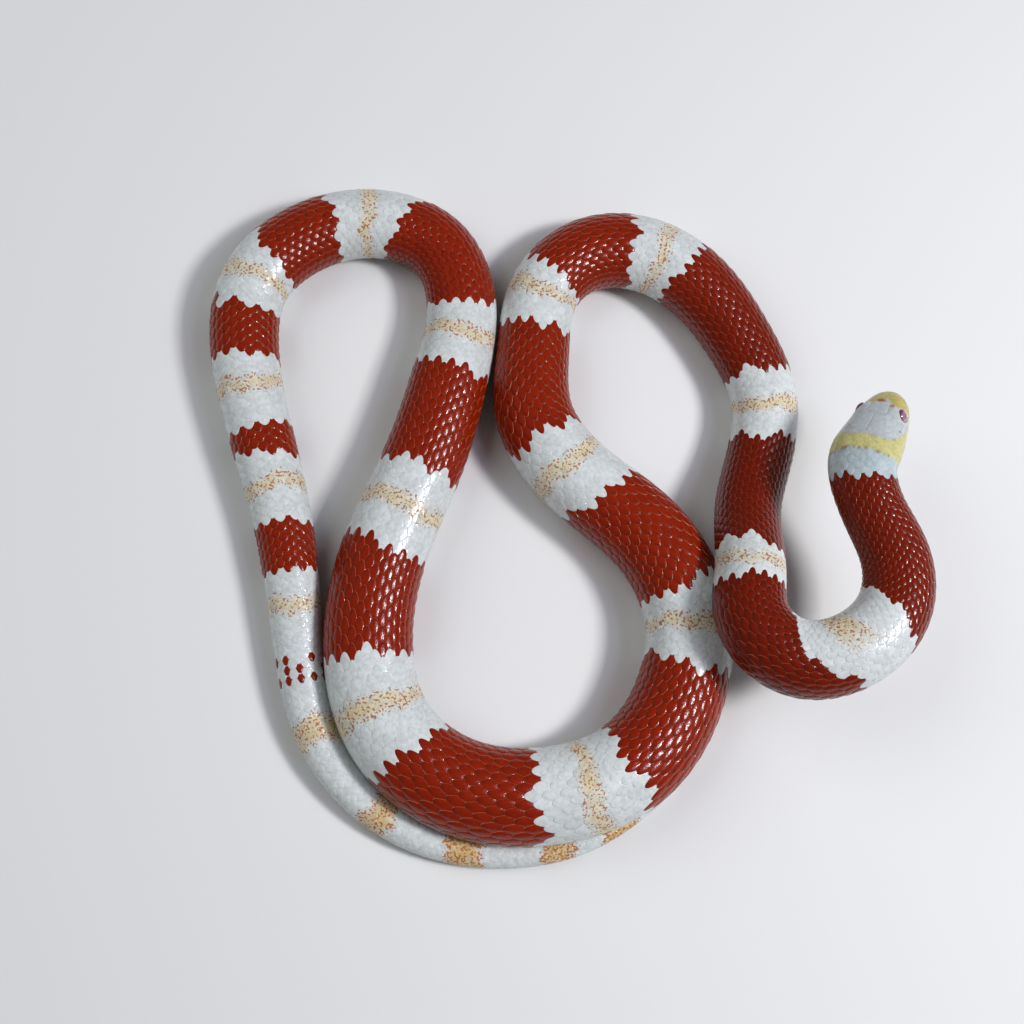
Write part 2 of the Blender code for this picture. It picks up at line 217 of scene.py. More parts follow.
# The outline of a section is read by t: 0 on the middle of the back, 1 and -1 under the belly,
# plus to the animal's right, even along the outline.
OUTLINE_STEPS = 64
OUTLINE_SAMPLES = 120
HEAD_SECTIONS = 90
SECTION_STEP = 0.42
outline_t = np.linspace(-1.0, 1.0, 2 * OUTLINE_STEPS + 1)
section_s = np.concatenate((HEAD_LENGTH * np.linspace(0.008, 1.0, HEAD_SECTIONS) ** 2,
                            np.arange(HEAD_LENGTH + 0.4, BODY_LENGTH - 0.2, SECTION_STEP),
                            (BODY_LENGTH - 0.05,)))


def half_outline(s):
    """The right half of a section from its top to the middle of its belly, as side and rise."""
    half, top, low = half_width(s)[0], crown(s)[0], chin(s)[0]
    middle = low + WIDEST_AT * (top - low)
    depth = BELLY_DEPTH * (middle - low)
    power = 2.0 / (2.0 + (HEAD_SQUARENESS - 2.0) * (1 - smooth(s, HEAD_SQUARE_TO, NECK_END)))
    corner = np.arcsin((1 / BELLY_DEPTH) ** (1 / power))
    taper = CROWN_TAPER * (1 - smooth(s, HEAD_SQUARE_TO, CROWN_TAPER_GONE))
    angle = np.linspace(np.pi / 2, -corner, OUTLINE_SAMPLES)
    side = half * np.abs(np.cos(angle)) ** power
    lift = np.abs(np.sin(angle)) ** power
    side[angle > 0] *= (1 - taper * lift)[angle > 0]
    rise = np.where(angle > 0, middle + (top - middle) * lift, middle - depth * lift)
    if s < FACE_END:
        fade = smooth(s, *LIP_GROWS) * (1 - smooth(s, LIP_FADES_FROM, MOUTH_END))
        grow = LIP * fade * np.exp(-((np.abs(rise - mouth_rise(s)) - LIP_STEP) / LIP_SPREAD) ** 2)
        brow = ((s - BROW_AT[0]) / BROW_SIZE[0]) ** 2 + ((rise - BROW_AT[1]) / BROW_SIZE[1]) ** 2
        grow += BROW * np.exp(-brow) * smooth(side, *BROW_SIDE)
        centre = 0.5 * (top + low)
        share = 1 + grow / np.hypot(side, rise - centre)
        side = side * share
        rise = centre + (rise - centre) * share
    return np.append(side, 0.0), np.append(rise, rise[-1])


def lay_out_body():
    """The surface as points and outward ways over section_s and outline_t."""
    middle, back, right, up, axis = body_frame(section_s)
    points = np.zeros((len(section_s), len(outline_t), 3))
    girth = np.zeros(len(section_s))
    mouth_at = np.zeros(len(section_s))
    for i, s in enumerate(section_s):
        side, rise = half_outline(np.array([s]))
        arc = np.concatenate(([0.0], np.cumsum(np.hypot(np.diff(side), np.diff(rise)))))
        girth[i] = arc[-1]
        mouth_at[i] = np.interp(-mouth_rise(s)[0], -rise[:-1], arc[:-1])
        even = np.abs(outline_t) * arc[-1]
        out = np.interp(even, arc, side) * np.sign(outline_t)
        high = np.interp(even, arc, rise) - axis[i]
        points[i] = middle[i] + out[:, None] * right[i] + high[:, None] * up[i]
    along_s = np.gradient(points, section_s, axis=0)
    wrapped = np.concatenate((points[:, -2:-1], points, points[:, 1:2]), axis=1)
    across = wrapped[:, 2:] - wrapped[:, :-2]
    ways = np.cross(along_s, across)
    ways /= np.maximum(np.linalg.norm(ways, axis=2), 1e-9)[:, :, None]
    return points, ways, girth, mouth_at


body_points, body_ways, body_girth, mouth_arcs = lay_out_body()


def place(s, t, lift):
    """Points of the surface at distance s and place t of the outline, raised by lift."""
    t = (np.asarray(t) + 1.0) % 2.0 - 1.0
    row = np.interp(s, section_s, np.arange(len(section_s)))
    col = (t + 1.0) * OUTLINE_STEPS
    i = np.clip(row.astype(int), 0, len(section_s) - 2)
    j = np.clip(col.astype(int), 0, 2 * OUTLINE_STEPS - 1)
    a = (row - i)[:, None]
    b = (col - j)[:, None]

    def read(grid):
        near = grid[i, j] * (1 - b) + grid[i, j + 1] * b
        far = grid[i + 1, j] * (1 - b) + grid[i + 1, j + 1] * b
        return near * (1 - a) + far * a

    way = read(body_ways)
    way /= np.maximum(np.linalg.norm(way, axis=1), 1e-9)[:, None]
    return (read(body_points) + way * np.asarray(lift)[:, None]) * MM


def girth(s):
    """Half the way round the body, from the middle of the back to the middle of the belly."""
    return np.interp(s, section_s, body_girth)


def mouth_arc(s):
    """The way from the middle of the crown to the mouth line."""
    return np.interp(np.minimum(s, MOUTH_END), section_s, mouth_arcs)


# Colours in linear light: the pale skin between red, white and cream scales, brown flecks, and
# the head's grey crown, tan snout, yellow nape band and bluish collar.
RED_RIM = np.array((0.44, 0.120, 0.055))
WHITE = np.array((0.585, 0.625, 0.62))
# The white rim is painted a little lighter than the white: painted light that cancels the shade in
# the gaps between white scales.
WHITE_RIM_PAINTED_LIGHT = np.array((0.60, 0.64, 0.64))
COLLAR = np.array((0.42, 0.50, 0.52))
CREAM_RIM = np.array((0.60, 0.50, 0.33))
FLECK = np.array((0.36, 0.11, 0.03))
CROWN_GREY = np.array((0.45, 0.495, 0.505))
SNOUT_TAN = np.array((0.46, 0.39, 0.11))
NAPE_YELLOW = np.array((0.53, 0.50, 0.21))
ORANGE_BROWN = np.array((0.32, 0.09, 0.012))
# The dark dot is a real mark on the crown, and is also used as painted shade in the nostrils and
# the eye sockets.
DARK_DOT_AND_PAINTED_SHADE = np.array((0.10, 0.03, 0.02))
MOUTH_LINE = np.array((0.25, 0.10, 0.07))

# The pale bands: where the white starts on the middle of the back, how far that edge slants
# from there to the flank, the middle of the cream, and the end of the white with its slant.
PALE_BANDS = (
    (63.8, 12, 76.0, 89.5, -30), (115.8, -3, 120.8, 126.0, 5), (163.5, -5, 173.5, 183.7, 3),
    (220.5, 1, 228.5, 236.8, 0), (262.3, 5, 269.3, 279.0, 4), (312.0, 2, 321.7, 334.5, 9),
    (367.0, 0, 377.0, 388.0, 2), (419.5, 5, 431.3, 444.5, 0), (479.5, 6, 493.8, 507.0, 0),
    (536.0, 2, 548.3, 559.5, 0), (589.2, 0, 599.6, 608.5, 0), (640.5, 8, 650.7, 660.3, 0),
    (680.5, 5, 688.2, 697.5, 2), (712.0, 2, 720.5, 732.3, 1), (740.0, 6, 748.8, 759.3, 1),
    (772.0, 1, 781.3, 793.0, 0),
)
COLLAR_END = 28.0
COLLAR_LEAN = 2.5
LEAN_STOPS = 0.35
# The tail is white, and only cream bands cross it.
TAIL_WHITE = 790.0
TAIL_CREAM = ((811.5, 817.5), (838.8, 845.0), (861.0, 869.3), (886.0, 893.3), (902.3, 911.0))

# The cream in a pale band: its half width is a share of the band's width and a bit more. In the
# first band it slants across the back and stays on the inner side.
CREAM_SHARE = 0.058
CREAM_LEAST = 0.4
CREAM_BLUR = 1.4
FIRST_SLANT = 12.0
FIRST_REACH = (2.0, 6.0)
FIRST_CREAM_SIDE = (-0.25, 0.12)


def is_red(s, t):
    """Whether a scale whose middle stands at s and t is red."""
    pale = (s < COLLAR_END + COLLAR_LEAN * t) | (s > TAIL_WHITE)
    lean = np.clip(t, -LEAN_STOPS, LEAN_STOPS)
    for start, start_lean, _, end, end_lean in PALE_BANDS:
        pale |= (s > start + start_lean * lean) & (s < end + end_lean * lean)
    return ~pale


def cream_bands():
    """The middle and half width of every cream band."""
    trunk = [(row[2], CREAM_SHARE * (row[3] - row[0]) + CREAM_LEAST) for row in PALE_BANDS]
    tail = [(0.5 * (start + end), 0.5 * (end - start)) for start, end in TAIL_CREAM]
    return trunk + tail


def stray(s, t):
    """How far a cream band strays from straight across, in mm."""
    return 0.7 * np.sin(9.0 * t + 0.11 * s) + 0.35 * np.sin(23.0 * t)


def creaminess(s, t):
    """How cream the pale ground is, from 0 to 1."""
    cream = np.zeros_like(s)
    for number, (middle, reach) in enumerate(cream_bands()):
        if number == 0:
            share = 1 - smooth(np.abs(s - middle + FIRST_SLANT * t), *FIRST_REACH)
            share *= 1 - smooth(t, *FIRST_CREAM_SIDE)
        else:
            off = np.abs(s - middle + stray(s, t))
            share = 1 - smooth(off, reach - CREAM_BLUR, reach + CREAM_BLUR)
        cream = np.maximum(cream, share)
    return cream


def blend(ground, colour, share):
    """A ground colour turned to another by a share at each point."""
    share = np.asarray(share)[:, None]
    return ground * (1 - share) + colour * share


def spot(s, t, at_s, at_t, long, wide):
    """A soft spot on the head, with its size in mm."""
    off = ((s - at_s) / long) ** 2 + ((t - at_t) * girth(s) / wide) ** 2
    return np.exp(-off ** 2)


# The nape band's front and rear edges, and the rear edge of the tan snout, over t.
BAND_FRONT_T = (-0.62, -0.45, -0.375, -0.30, -0.19, -0.06, 0.08, 0.22, 0.30, 0.375, 0.45, 0.62)
BAND_FRONT_S = (9.0, 12.5, 15.6, 17.8, 18.8, 18.4, 17.9, 18.2, 17.4, 15.4, 12.5, 9.0)
BAND_REAR_T = (-0.6, -0.26, -0.14, -0.08, 0.0, 0.14, 0.21, 0.29, 0.6)
BAND_REAR_S = (24.5, 22.5, 22.1, 21.8, 22.0, 22.1, 22.7, 22.9, 24.5)
SNOUT_T = (-0.5, -0.28, -0.16, -0.02, 0.06, 0.16, 0.24, 0.33, 0.5)
SNOUT_S = (8.0, 6.8, 6.6, 5.7, 4.6, 6.3, 6.9, 6.6, 8.0)
# Small marks on the head: colour, strength, the place's s and t, length and width.
CROWN_MARKS = (
    (ORANGE_BROWN, 0.95, 5.7, -0.025, 0.75, 1.15),
    (ORANGE_BROWN, 0.75, 7.0, 0.165, 0.6, 0.7),
    (DARK_DOT_AND_PAINTED_SHADE, 0.7, 13.4, 0.367, 0.35, 0.35),
)
# Where on the side, by t, the crown's colour turns to the white below, and where the lips lie.
SIDE_TURNS = (0.56, 0.75)
LIPS_FROM = (0.46, 0.53)
LIPS_TO = (0.72, 0.85)
LIPS_FADE = (20.0, 24.0)
COLLAR_FROM = (19.0, 23.0)
LIP_YELLOW = 0.8
BAND_FRONT_BLUR = 0.35
BAND_REAR_BLUR = 0.25
CHIN_PALE = 0.7
CHIN_FROM = (0.7, 0.9)
REAR_DOTS_TO = 0.34
FRONT_DOTS_TO = 0.40


def head_colour(s, t):
    """The markings of the head and nape at each point, before the scales' own colours."""
    wander = 0.28 * np.sin(9.0 * s + 31.0 * t) * np.sin(57.0 * t + 1.3)
    colour = blend(CROWN_GREY, COLLAR, smooth(s, *COLLAR_FROM))
    below = smooth(np.abs(t), *SIDE_TURNS)
    colour = blend(colour, WHITE, below)
    front = np.interp(t, BAND_FRONT_T, BAND_FRONT_S)
    rear = np.interp(t, BAND_REAR_T, BAND_REAR_S)
    band = smooth(s + wander, front - BAND_FRONT_BLUR, front + BAND_FRONT_BLUR)
    band *= 1 - smooth(s + wander, rear - BAND_REAR_BLUR, rear + BAND_REAR_BLUR)
    lips = smooth(np.abs(t), *LIPS_FROM) * (1 - smooth(s, *LIPS_FADE))
    lips *= 1 - smooth(np.abs(t), *LIPS_TO)
    colour = blend(colour, NAPE_YELLOW, np.maximum(band * (1 - below), LIP_YELLOW * lips))
    snout = np.interp(t, SNOUT_T, SNOUT_S)
    soft = 0.5 + 1.5 * smooth(np.abs(t), 0.36, 0.5)
    tan = 1 - smooth((s + wander - snout) / soft, -1.0, 1.0)
    colour = blend(colour, SNOUT_TAN, tan * (1 - CHIN_PALE * smooth(np.abs(t), *CHIN_FROM)))
    for mark, strength, *at_and_size in CROWN_MARKS:
        colour = blend(colour, mark, strength * spot(s, t, *at_and_size))
    dots = np.exp(-((s - rear) / 0.38) ** 2)
    dots *= smooth(np.sin(78.0 * t + 2.0 * np.sin(23.0 * t)), -0.2, 0.6)
    colour = blend(colour, ORANGE_BROWN * 0.6, 0.75 * dots * (np.abs(t) < REAR_DOTS_TO))
    dots = np.exp(-((s - front) / 0.3) ** 2)
    dots *= smooth(np.sin(61.0 * t + 0.7), 0.5, 0.95)
    return blend(colour, ORANGE_BROWN, 0.5 * dots * (np.abs(t) < FRONT_DOTS_TO))


# The seams between the head's shields on one side, each a line of points: s, and the place
# round the head, where 0 is the middle of the crown, 1 the mouth line and 2 the middle of
# the chin.
SEAMS = (
    ((1.3, 0.0), (1.2, 0.3), (1.0, 0.6), (1.5, 1.0)),
    ((1.3, 0.0), (5.9, 0.0)), ((11.1, 0.0), (17.3, 0.0)),
    ((3.1, 0.0), (3.2, 0.25), (2.9, 0.45), (1.1, 0.45)),
    ((2.9, 0.45), (3.4, 0.62), (5.5, 0.6)),
    ((5.9, 0.0), (6.2, 0.2), (6.3, 0.35), (5.6, 0.5), (5.5, 0.78)),
    ((6.2, 0.2), (10.0, 0.24), (11.1, 0.0)),
    ((10.0, 0.24), (10.7, 0.42), (10.3, 0.5)),
    ((10.7, 0.42), (11.4, 0.52), (14.5, 0.52), (17.2, 0.3), (17.5, 0.08), (17.3, 0.0)),
    ((11.4, 0.52), (11.2, 0.66), (10.9, 0.8)), ((10.2, 0.66), (14.0, 0.66)),
    ((14.0, 0.52), (14.0, 0.80)), ((14.0, 0.60), (17.0, 0.62)), ((17.0, 0.34), (17.0, 0.80)),
    ((3.6, 0.62), (3.6, 0.78)), ((1.3, 0.76), (5.5, 0.78), (6.8, 0.83)),
    ((9.8, 0.84), (11.0, 0.80), (17.0, 0.80)),
    ((2.9, 0.77), (2.9, 1.0)), ((4.7, 0.78), (4.7, 1.0)), ((6.6, 0.83), (6.6, 1.0)),
    ((8.6, 0.86), (8.6, 1.0)), ((10.9, 0.80), (10.9, 1.0)), ((13.4, 0.80), (13.4, 1.0)),
    ((16.0, 0.80), (16.0, 1.0)),
    ((1.4, 1.0), (1.6, 1.3), (1.8, 2.0)), ((1.6, 1.3), (9.0, 1.22), (16.0, 1.22)),
    ((3.0, 1.0), (3.0, 1.27)), ((4.6, 1.0), (4.6, 1.25)), ((6.4, 1.0), (6.4, 1.23)),
    ((8.4, 1.0), (8.4, 1.22)), ((10.8, 1.0), (10.8, 1.22)), ((13.4, 1.0), (13.4, 1.22)),
    ((1.8, 2.0), (9.0, 2.0)), ((5.2, 1.25), (5.4, 2.0)), ((9.0, 1.22), (9.0, 2.0)),
)
SEAM_DEPTH = 0.08
SEAM_WIDTH = 0.17
FAR_OFF = 9.0
EYE_AT = (8.2, 7.3)
EYE_RADIUS = 1.75
NOSTRIL_AT = (2.3, 5.7)


def arc_of(s, share):
    """The way round from the crown for a place that is given by its share."""
    mouth = mouth_arc(s)
    return np.where(share <= 1, share * mouth, mouth + (share - 1) * (girth(s) - mouth))


def off_seams(s, arc):
    """How far points lie from the nearest seam."""
    least = np.full(len(s), FAR_OFF)
    for line in SEAMS:
        ends = np.array([(row[0], arc_of(np.array(row[0]), np.array(row[1]))) for row in line])
        for (x0, y0), (x1, y1) in zip(ends, ends[1:]):
            long = (x1 - x0) ** 2 + (y1 - y0) ** 2
            share = np.clip(((s - x0) * (x1 - x0) + (arc - y0) * (y1 - y0)) / long, 0.0, 1.0)
            away = np.hypot(s - x0 - share * (x1 - x0), arc - y0 - share * (y1 - y0))
            least = np.minimum(least, away)
    return least


def side_arc(at):
    """The way round from the crown to a rise on the head's side."""
    side, rise = half_outline(np.array([at[0]]))
    arc = np.concatenate(([0.0], np.cumsum(np.hypot(np.diff(side), np.diff(rise)))))
    return np.interp(-at[1], -rise[:-1], arc[:-1])


# How deep the skin lies inside the solids, bare on the head and under the scales behind it.
HEAD_DEPTH = 0.03
SKIN_DEPTH = 0.30
SCALES_BEGIN = (17.0, 20.0)
SEAMS_FADE = (16.8, 18.5)
MOUTH_LINE_DEPTH = 0.42
MOUTH_LINE_WIDTH = 0.20
MOUTH_LINE_FADES = (16.8, 17.6)
SOCKET_DEPTH = 1.5
SOCKET_WALL = (EYE_RADIUS - 0.45, EYE_RADIUS - 0.03)
EYE_RING_RADIUS = EYE_RADIUS + 0.30
EYE_RING_WIDTH = 0.28
EYE_RING_HEIGHT = 0.08
NOSTRIL_STRETCH = 1.15
NOSTRIL_RADIUS = 0.42
NOSTRIL_DEPTH = 0.65
NOSTRIL_RIM_RADIUS = 0.62
NOSTRIL_RIM_WIDTH = 0.2
NOSTRIL_RIM_HEIGHT = 0.05
# The grid that is wrapped round the body: rows along it, finer on the head, and steps round it.
HEAD_ROWS = 36
HEAD_END = 24.0
BODY_ROWS = 690
ALL_ROWS = HEAD_ROWS + BODY_ROWS
STEPS_ROUND = 72
HEAD_CUTS = 3
SKIN_START = 0.02
SKIN_STOP = BODY_LENGTH - 0.06

bpy.ops.mesh.primitive_grid_add(x_subdivisions=ALL_ROWS, y_subdivisions=STEPS_ROUND, size=2.0)
skin = bpy.context.active_object
skin.name = "skin"
skin.data.name = "skin"
bpy.ops.object.mode_set(mode="EDIT")
bpy.ops.mesh.select_mode(type="FACE")
bpy.ops.mesh.select_all(action="DESELECT")
bpy.ops.object.mode_set(mode="OBJECT")
for face in skin.data.polygons:
    face.select = (face.center.x + 1) * 0.5 * ALL_ROWS < HEAD_ROWS
bpy.ops.object.mode_set(mode="EDIT")
bpy.ops.mesh.subdivide(number_cuts=HEAD_CUTS)
bpy.ops.object.mode_set(mode="OBJECT")

grid = np.zeros(len(skin.data.vertices) * 3)
skin.data.vertices.foreach_get("co", grid)
grid = grid.reshape(-1, 3)
row = (grid[:, 0] + 1) * 0.5 * ALL_ROWS
skin_t = grid[:, 1].copy()
in_head = np.clip(row / HEAD_ROWS, 0.0, 1.0)
head_s = SKIN_START + (HEAD_END - SKIN_START) * (0.35 * in_head ** 2 + 0.65 * in_head ** 1.25)
body_s = HEAD_END + (row - HEAD_ROWS) / BODY_ROWS * (SKIN_STOP - HEAD_END)
skin_s = np.where(row <= HEAD_ROWS, head_s, body_s)

in_face = skin_s < FACE_END
arc = np.abs(skin_t) * girth(skin_s)
seam = np.zeros(len(skin_s))
seam[in_face] = np.exp(-(off_seams(skin_s[in_face], arc[in_face]) / SEAM_WIDTH) ** 2)
mouth_line = np.exp(-((arc - mouth_arc(skin_s)) / MOUTH_LINE_WIDTH) ** 2)
mouth_line *= 1 - smooth(skin_s, *MOUTH_LINE_FADES)
eye_off = np.hypot(skin_s - EYE_AT[0], arc - side_arc(EYE_AT))
eye_hole = 1 - smooth(eye_off, *SOCKET_WALL)
eye_ring = np.exp(-((eye_off - EYE_RING_RADIUS) / EYE_RING_WIDTH) ** 2)
nostril_off = np.hypot((skin_s - NOSTRIL_AT[0]) / NOSTRIL_STRETCH, arc - side_arc(NOSTRIL_AT))
nostril = np.exp(-(nostril_off / NOSTRIL_RADIUS) ** 4)
nostril_rim = np.exp(-((nostril_off - NOSTRIL_RIM_RADIUS) / NOSTRIL_RIM_WIDTH) ** 2)
lift = -HEAD_DEPTH - (SKIN_DEPTH - HEAD_DEPTH) * smooth(skin_s, *SCALES_BEGIN)
lift -= SEAM_DEPTH * seam * (1 - smooth(skin_s, *SEAMS_FADE)) * (1 - eye_hole)
lift -= MOUTH_LINE_DEPTH * mouth_line + SOCKET_DEPTH * eye_hole + NOSTRIL_DEPTH * nostril
lift += EYE_RING_HEIGHT * eye_ring + NOSTRIL_RIM_HEIGHT * nostril_rim
skin.data.vertices.foreach_set("co", place(skin_s, skin_t, lift).ravel())

# The skin's colours: darker in the seams and the mouth line, with painted shade in the nostrils and
# the eye sockets.
# Behind the head it has the colour of the scales' rims, which it shows between.
SEAM_TINT = np.array((0.86, 0.82, 0.82))
NAPE_END = 27.0
skin_colour = head_colour(skin_s, skin_t)
skin_colour = blend(skin_colour, skin_colour * SEAM_TINT, 0.5 * seam)
skin_colour = blend(skin_colour, MOUTH_LINE, 0.75 * mouth_line)
skin_colour = blend(skin_colour, DARK_DOT_AND_PAINTED_SHADE, 0.9 * nostril)
skin_colour = blend(skin_colour, WHITE * 0.95, 0.5 * eye_ring)
skin_colour = blend(skin_colour, DARK_DOT_AND_PAINTED_SHADE, smooth(eye_hole, 0.3, 0.9))
red_skin = is_red(skin_s, skin_t)
skin_colour[red_skin] = RED_RIM * 0.8
# Between white scales the skin takes the white rim, painted lighter than the white against the
# shade in the gaps.
pale_skin = ~red_skin & (skin_s > NAPE_END)
cream_skin = creaminess(skin_s[pale_skin], skin_t[pale_skin])
skin_colour[pale_skin] = blend(WHITE_RIM_PAINTED_LIGHT, CREAM_RIM, cream_skin)


def paint(item, colours, flecks):
    """Lays a colour and a thickness of flecks on each point, for the material to read."""
    layer = item.data.attributes.new("coat_colour", "FLOAT_COLOR", "POINT")
    values = np.ones((len(colours), 4), np.float32)
    values[:, :3] = np.clip(colours, 0.0, 1.0)
    layer.data.foreach_set("color", values.ravel())
    layer = item.data.attributes.new("flecks", "FLOAT", "POINT")
    layer.data.foreach_set("value", np.asarray(flecks, np.float32))


def lay_map(item, across, up):
    """Writes the bake's map, one pair of numbers for each corner."""
    layer = item.data.uv_layers.new(name="OFBake")
    layer.data.foreach_set("uv", np.stack((across, up), axis=1).astype(np.float32).ravel())


def corners(item):
    """The point and the face that each corner belongs to."""
    points = np.zeros(len(item.data.loops), int)
    item.data.loops.foreach_get("vertex_index", points)
    sides = np.zeros(len(item.data.polygons), int)
    item.data.polygons.foreach_get("loop_total", sides)
    return points, np.repeat(np.arange(len(sides)), sides)


# The skin unrolled: the head fills the map's upper half, the body lies in strips below it.
BODY_STRIPS = 6
MAP_EDGE = 0.01
paint(skin, skin_colour, np.zeros(len(skin_s)))
points, faces = corners(skin)
corner_s = skin_s[points]
corner_t = skin_t[points]
face_s = (np.bincount(faces, corner_s) / np.bincount(faces))[faces]
of_head = face_s < HEAD_END
strip_long = (BODY_LENGTH - HEAD_END) / BODY_STRIPS
strip = np.clip((face_s - HEAD_END) // strip_long, 0, BODY_STRIPS - 1)
in_strip = (corner_s - HEAD_END - strip * strip_long) / strip_long
round_body = (corner_t + 1) / 2
map_x = np.where(of_head, MAP_EDGE + 0.98 * corner_s / HEAD_END, MAP_EDGE + 0.97 * in_strip)
map_y = np.where(of_head, 0.5 + MAP_EDGE + 0.48 * round_body,
                 (strip + 0.04 + 0.92 * round_body) * 0.5 / BODY_STRIPS)
lay_map(skin, map_x, map_y)

bpy.ops.object.mode_set(mode="EDIT")
bpy.ops.mesh.select_mode(type="VERT")
bpy.ops.mesh.select_all(action="SELECT")
bpy.ops.mesh.remove_doubles(threshold=0.000002)
bpy.ops.mesh.select_all(action="DESELECT")
bpy.ops.mesh.select_non_manifold()
bpy.ops.mesh.edge_face_add()
bpy.ops.mesh.select_all(action="SELECT")
bpy.ops.mesh.normals_make_consistent(inside=False)
bpy.ops.object.mode_set(mode="OBJECT")
bpy.ops.object.shade_smooth()


# The painted finish. Noise scales are in cells for each metre, and depths in metres.
MOTTLE_SCALE = 900.0
MOTTLE_FROM = (0.3, 0.7)
MOTTLE_TO = (0.88, 1.10)
SPECK_SCALE = 1650.0
SPECK_GAIN = 0.16
SPECK_LEVEL = (0.665, 0.70)
SPECK_COVER = 0.85
SPECK_GATE = 0.15
DULLER = 0.08
GLOSSIER = 0.06
GRAIN_DEPTH = 0.00006
COAT_ROUGHNESS = 0.10
FIRST_COLOUR, SECOND_COLOUR, MIXED_COLOUR = 6, 7, 2


def add_noise(tree, scale, detail):
    """Noise through the whole body."""
    where = tree.nodes.new("ShaderNodeTexCoord")
    made = tree.nodes.new("ShaderNodeTexNoise")
    made.inputs["Scale"].default_value = scale
    made.inputs["Detail"].default_value = detail
    tree.links.new(where.outputs["Object"], made.inputs["Vector"])
    return made.outputs["Fac"]


def add_range(tree, value, start, stop, low, high):
    """A value moved from one range to another, and kept inside it."""
    made = tree.nodes.new("ShaderNodeMapRange")
    made.inputs["From Min"].default_value = start
    made.inputs["From Max"].default_value = stop
    made.inputs["To Min"].default_value = low
    made.inputs["To Max"].default_value = high
    tree.links.new(value, made.inputs["Value"])
    return made.outputs["Result"]


def add_mottling(tree):
    """The laid colour, a little lighter and darker in patches."""
    colour = tree.nodes.new("ShaderNodeAttribute")
    colour.attribute_name = "coat_colour"
    shade = add_range(tree, add_noise(tree, MOTTLE_SCALE, 3.0), *MOTTLE_FROM, *MOTTLE_TO)
    made = tree.nodes.new("ShaderNodeVectorMath")
    made.operation = "SCALE"
    tree.links.new(colour.outputs["Color"], made.inputs[0])
    tree.links.new(shade, made.inputs["Scale"])
    return made.outputs["Vector"]


def add_flecks(tree, ground):
    """Brown flecks over a colour, as thick as the laid flecks say."""
    thick = tree.nodes.new("ShaderNodeAttribute")
    thick.attribute_name = "flecks"
    level = tree.nodes.new("ShaderNodeMath")
    level.operation = "MULTIPLY_ADD"
    level.inputs[1].default_value = SPECK_GAIN
    tree.links.new(thick.outputs["Fac"], level.inputs[0])
    tree.links.new(add_noise(tree, SPECK_SCALE, 0.0), level.inputs[2])
    only = tree.nodes.new("ShaderNodeMath")
    only.operation = "MULTIPLY"
    there = add_range(tree, level.outputs["Value"], *SPECK_LEVEL, 0.0, SPECK_COVER)
    tree.links.new(there, only.inputs[0])
    gate = add_range(tree, thick.outputs["Fac"], 0.0, SPECK_GATE, 0.0, 1.0)
    tree.links.new(gate, only.inputs[1])
    made = tree.nodes.new("ShaderNodeMix")
    made.data_type = "RGBA"
    tree.links.new(only.outputs["Value"], made.inputs[0])
    tree.links.new(ground, made.inputs[FIRST_COLOUR])
    made.inputs[SECOND_COLOUR].default_value = (*FLECK, 1.0)
    return made.outputs[MIXED_COLOUR]


def skin_finish(name, roughness, grain, bump, coat, gleam):
    """Painted skin: the mottled and flecked colour, a faint grain and a soft gloss."""
    made = bpy.data.materials.new(name)
    made.use_nodes = True
    tree = made.node_tree
    shader = tree.nodes["Principled BSDF"]
    tree.links.new(add_flecks(tree, add_mottling(tree)), shader.inputs["Base Color"])
    fine = add_noise(tree, grain, 2.0)
    dull = add_range(tree, fine, 0.0, 1.0, roughness - GLOSSIER, roughness + DULLER)
    tree.links.new(dull, shader.inputs["Roughness"])
    rough = tree.nodes.new("ShaderNodeBump")
    rough.inputs["Strength"].default_value = bump
    rough.inputs["Distance"].default_value = GRAIN_DEPTH
    tree.links.new(fine, rough.inputs["Height"])
    tree.links.new(rough.outputs["Normal"], shader.inputs["Normal"])
    tree.links.new(rough.outputs["Normal"], shader.inputs["Coat Normal"])
    shader.inputs["Coat Weight"].default_value = coat
    shader.inputs["Specular IOR Level"].default_value = gleam
    shader.inputs["Coat Roughness"].default_value = COAT_ROUGHNESS
    return made


skin.data.materials.clear()
skin.data.materials.append(skin_finish("painted_skin", 0.38, 1700.0, 0.7, 0.55, 0.25))
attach(skin, "root")
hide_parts("head", "lower_jaw", "neck", *("torso_%d" % i for i in range(1, 17)),
            "tail_base", "tail_tip")

# The scales of the back.
# Smooth, glossy, overlapping scales in 21 rows at mid-body and fewer along the tail. Each is
# a thin cast plate with a rounded tip, a pale rim and a low dome. They are set in the skin
# one by one, with the tips towards the tail.
PITCH = ((17.0, 2.1), (25.0, 2.4), (60.0, 2.45), (110.0, 2.8), (150.0, 3.0), (200.0, 3.4),
         (300.0, 3.75), (350.0, 4.0), (400.0, 4.05), (455.0, 4.6), (520.0, 4.1), (580.0, 3.6),
         (640.0, 2.8), (680.0, 2.9), (740.0, 2.8), (800.0, 2.6), (850.0, 2.2), (900.0, 1.7),
         (927.0, 1.3))
ROW_WIDTH = ((0.0, 0.168), (560.0, 0.168), (640.0, 0.205), (850.0, 0.30), (900.0, 0.50),
             (927.0, 0.60))
ROWS_EACH_SIDE = 10
ROW_GROWTH = 0.6
BELLY_EDGE = 0.72
SCALES_FROM = 18.3
SCALES_TO = 925.5
SCALE_OUTLINE = ((0.57, 0.0), (0.53, 0.16), (0.43, 0.34), (0.24, 0.51), (0.0, 0.645),
                 (-0.25, 0.5), (-0.5, 0.36), (-0.5, 0.12), (-0.5, -0.12), (-0.5, -0.36),
                 (-0.25, -0.5), (0.0, -0.645), (0.24, -0.51), (0.43, -0.34), (0.53, -0.16))
SCALE_TILT = 0.22
SCALE_FOOT = 0.27
SCALE_SUNK = 0.05
